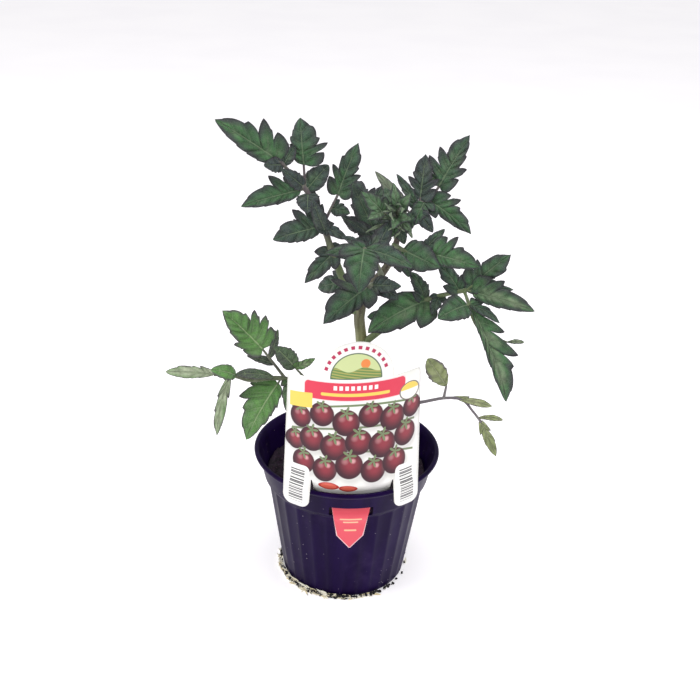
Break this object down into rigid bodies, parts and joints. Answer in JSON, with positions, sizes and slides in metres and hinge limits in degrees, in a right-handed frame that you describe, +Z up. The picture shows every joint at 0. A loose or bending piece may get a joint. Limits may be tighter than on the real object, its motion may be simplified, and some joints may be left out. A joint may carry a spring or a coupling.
{
  "type": "cherry tomato plant in a pot",
  "caption": "Young cherry tomato plant with lobed compound leaves in a round fluted nursery pot of soil, with a curved plant label hooked over the rim.",
  "frame": {"origin": "centre of the pot's foot, on the surface it stands on", "axes": "+Z up along the pot's axis, -Y towards the label at the front, +X to the right seen from the front"},
  "size_m": [0.2492, 0.1484, 0.35],
  "materials": {
    "pot_plastic": "thin blue-black moulded plastic with a soft sheen",
    "peat": "dark moist peat",
    "label_card": null,
    "straw": "pale dry husks and root ends",
    "stem_green": "ribbed green stem with short white hairs",
    "leaf_light": "soft, finely haired, light green leaf",
    "leaf_pale": "soft, yellowing lower leaf",
    "leaf_dark": "soft, finely haired, dark green leaf with grey-purple edges",
    "leaf_young": "soft, densely haired young leaf"
  },
  "bodies": {
    "root": {"pot": "pot_plastic", "soil": "peat", "label": "label_card", "foot_litter": "straw", "stem": "stem_green", "leaf_low_left": "leaf_light", "leaf_low_right": "leaf_pale", "leaf_right": "leaf_dark", "leaf_upper_left": "leaf_dark", "leaf_upper_right": "leaf_dark", "leaf_mid_right": "leaf_dark", "leaf_front": "leaf_dark", "leaf_front_low": "leaf_dark", "leaf_back": "leaf_dark", "shoot_tip": "leaf_young"}
  },
  "joints": []
}
